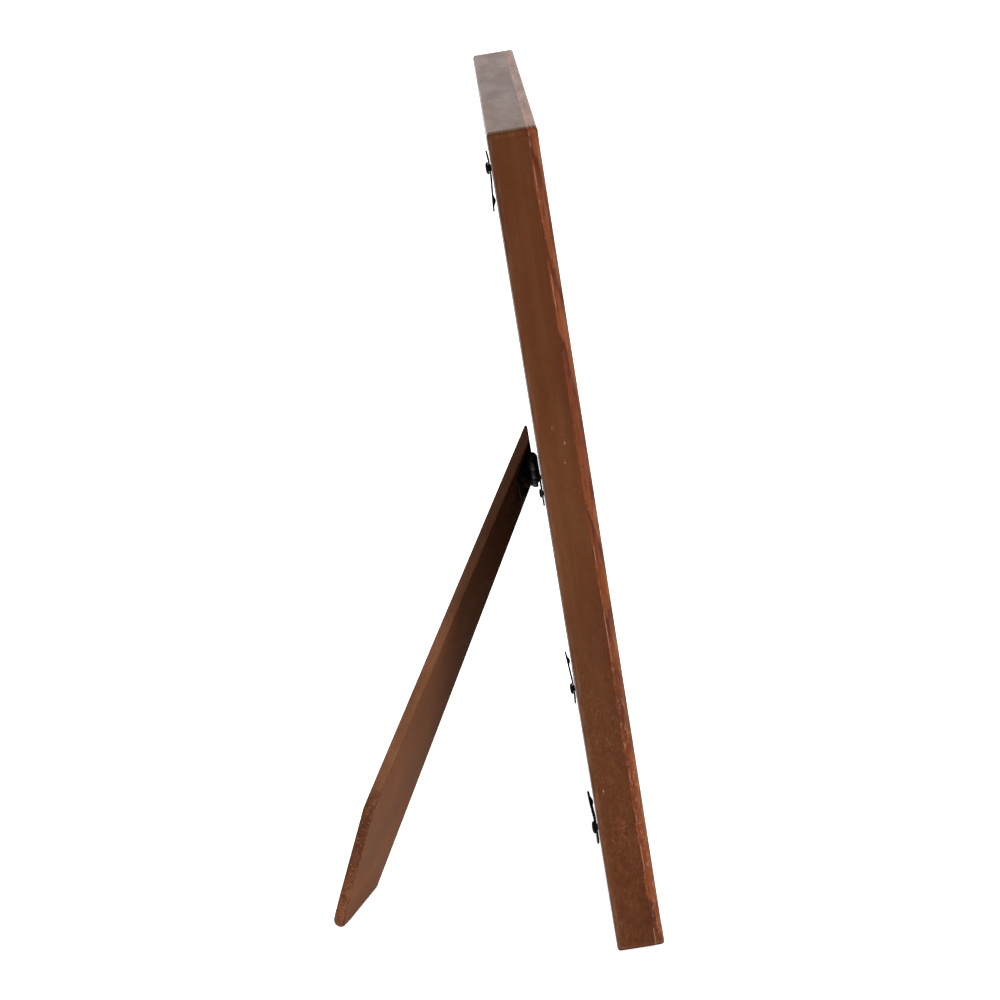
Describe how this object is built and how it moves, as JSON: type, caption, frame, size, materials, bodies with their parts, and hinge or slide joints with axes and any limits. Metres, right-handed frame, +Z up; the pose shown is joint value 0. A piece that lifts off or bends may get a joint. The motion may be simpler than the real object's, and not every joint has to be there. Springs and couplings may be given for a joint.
{
  "type": "tabletop picture frame with easel strut",
  "caption": "Thick rectangular wooden picture frame that leans back on a tapered wooden strut, hinged diagonally to its backing board and held by black turn buttons.",
  "frame": {"origin": "centre of the footprint, on the surface that the frame stands on", "axes": "+Z up, -Y the way the picture faces, +X to the right of someone looking at the picture"},
  "size_m": [0.285, 0.1354, 0.3351],
  "materials": {
    "base_wood": "smooth brown stained wood, satin",
    "face_wood": "reddish stained wood with open grain, satin",
    "leg_board": "brown stained fibreboard, smooth faces and rough speckled edges",
    "backing": "brown stained hardboard, matt",
    "paper": "uncoated cream paper",
    "glass": "clear float glass",
    "nail_steel": "dull corrugated steel",
    "black_steel": "black lacquered steel, semi-gloss"
  },
  "bodies": {
    "frame": {"backing_board": "backing", "base_rail_bottom": "base_wood", "base_rail_left": "base_wood", "base_rail_right": "base_wood", "base_rail_top": "base_wood", "board_rivet_left": "black_steel", "board_rivet_right": "black_steel", "button_screw_left": "black_steel", "button_screw_right": "black_steel", "button_screw_top": "black_steel", "face_strip_bottom": "face_wood", "face_strip_left": "face_wood", "face_strip_right": "face_wood", "face_strip_top": "face_wood", "glass_pane": "glass", "hinge_leaf_board": "black_steel", "hinge_pin": "black_steel", "insert_sheet": "paper", "v_nail_bottom_left_inner": "nail_steel", "v_nail_bottom_left_outer": "nail_steel", "v_nail_bottom_right_inner": "nail_steel", "v_nail_bottom_right_outer": "nail_steel", "v_nail_top_left_inner": "nail_steel", "v_nail_top_left_outer": "nail_steel", "v_nail_top_right_inner": "nail_steel", "v_nail_top_right_outer": "nail_steel"},
    "leg": {"support_leg": "leg_board", "hinge_leaf_leg": "black_steel", "leg_rivet_left": "black_steel", "leg_rivet_right": "black_steel"},
    "button_top": {"turn_button_top": "black_steel"},
    "button_left": {"turn_button_left": "black_steel"},
    "button_right": {"turn_button_right": "black_steel"}
  },
  "joints": [
    {"name": "leg_fold", "type": "hinge", "parent": "frame", "child": "leg", "pos_m": [0, -0.02185, 0.1657], "axis": [-0.8007, 0.0865, 0.5927], "range_deg": [0, 29.1]},
    {"name": "button_turn_top", "type": "hinge", "parent": "frame", "child": "button_top", "pos_m": [0, -0.0052, 0.29919], "axis": [0, 0.9895, -0.1444], "continuous": true},
    {"name": "button_turn_left", "type": "hinge", "parent": "frame", "child": "button_left", "pos_m": [-0.0885, -0.04405, 0.03302], "axis": [0, 0.9895, -0.1444], "continuous": true},
    {"name": "button_turn_right", "type": "hinge", "parent": "frame", "child": "button_right", "pos_m": [0.0885, -0.04405, 0.03302], "axis": [0, 0.9895, -0.1444], "continuous": true}
  ]
}
